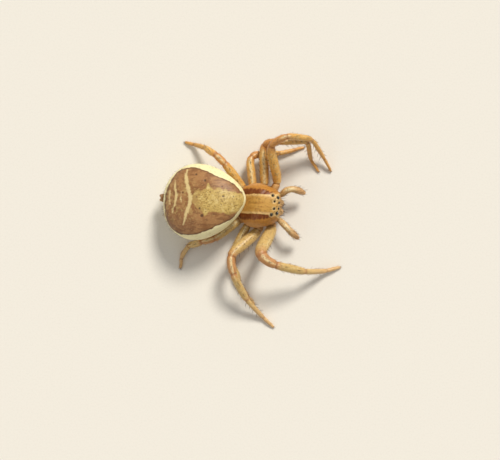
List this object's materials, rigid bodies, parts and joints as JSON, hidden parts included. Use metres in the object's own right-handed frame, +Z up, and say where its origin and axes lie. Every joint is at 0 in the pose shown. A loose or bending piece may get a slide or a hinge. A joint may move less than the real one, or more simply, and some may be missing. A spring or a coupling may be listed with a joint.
{
  "type": "crab spider",
  "caption": "Life-size still model of an adult female ground crab spider, front legs held out to the sides, standing on its feet.",
  "frame": {"origin": "on the floor under the middle of the model's bounding box", "axes": "+X the way the spider faces, +Y its left, +Z up; millimetre solids, metres in the row"},
  "size_m": [0.0122, 0.0128, 0.0038],
  "materials": {
    "abdomen_skin": "soft, finely wrinkled skin, mauve brown leaf pattern with cream bars and margin",
    "carapace_shell": "satin shell, straw middle band between dark brown side bands",
    "underside_shell": "satin amber shell, speckled",
    "jaw_shell": "satin straw shell, brown fangs",
    "spinneret_skin": "soft brown skin",
    "palp_shell": "satin straw shell with short bristles",
    "front_leg_shell": "satin pinkish tan shell, speckled brown, with spines and bristles",
    "rear_leg_shell": "satin straw shell, ringed with brown, with bristles",
    "eye_lens": "glossy near black lens"
  },
  "bodies": {
    "root": {"abdomen": "abdomen_skin", "carapace": "carapace_shell", "pedicel": "underside_shell", "spinnerets": "spinneret_skin", "eye_front_median_left": "eye_lens", "eye_front_median_right": "eye_lens", "eye_front_lateral_left": "eye_lens", "eye_front_lateral_right": "eye_lens", "eye_rear_median_left": "eye_lens", "eye_rear_median_right": "eye_lens", "eye_rear_lateral_left": "eye_lens", "eye_rear_lateral_right": "eye_lens", "chelicera_left": "jaw_shell", "palp_left": "palp_shell", "chelicera_right": "jaw_shell", "palp_right": "palp_shell", "leg_left_1_femur": "front_leg_shell", "leg_left_1_patella": "front_leg_shell", "leg_left_1_tibia": "front_leg_shell", "leg_left_1_metatarsus": "front_leg_shell", "leg_left_1_tarsus": "front_leg_shell", "leg_left_2_femur": "front_leg_shell", "leg_left_2_patella": "front_leg_shell", "leg_left_2_tibia": "front_leg_shell", "leg_left_2_metatarsus": "front_leg_shell", "leg_left_2_tarsus": "front_leg_shell", "leg_left_3_femur": "rear_leg_shell", "leg_left_3_patella": "rear_leg_shell", "leg_left_3_tibia": "rear_leg_shell", "leg_left_3_metatarsus": "rear_leg_shell", "leg_left_3_tarsus": "rear_leg_shell", "leg_left_4_femur": "rear_leg_shell", "leg_left_4_patella": "rear_leg_shell", "leg_left_4_tibia": "rear_leg_shell", "leg_left_4_metatarsus": "rear_leg_shell", "leg_left_4_tarsus": "rear_leg_shell", "leg_right_1_femur": "front_leg_shell", "leg_right_1_patella": "front_leg_shell", "leg_right_1_tibia": "front_leg_shell", "leg_right_1_metatarsus": "front_leg_shell", "leg_right_1_tarsus": "front_leg_shell", "leg_right_2_femur": "front_leg_shell", "leg_right_2_patella": "front_leg_shell", "leg_right_2_tibia": "front_leg_shell", "leg_right_2_metatarsus": "front_leg_shell", "leg_right_2_tarsus": "front_leg_shell", "leg_right_3_femur": "rear_leg_shell", "leg_right_3_patella": "rear_leg_shell", "leg_right_3_tibia": "rear_leg_shell", "leg_right_3_metatarsus": "rear_leg_shell", "leg_right_3_tarsus": "rear_leg_shell", "leg_right_4_femur": "rear_leg_shell", "leg_right_4_patella": "rear_leg_shell", "leg_right_4_tibia": "rear_leg_shell", "leg_right_4_metatarsus": "rear_leg_shell", "leg_right_4_tarsus": "rear_leg_shell", "sternum": "underside_shell"}
  },
  "joints": []
}
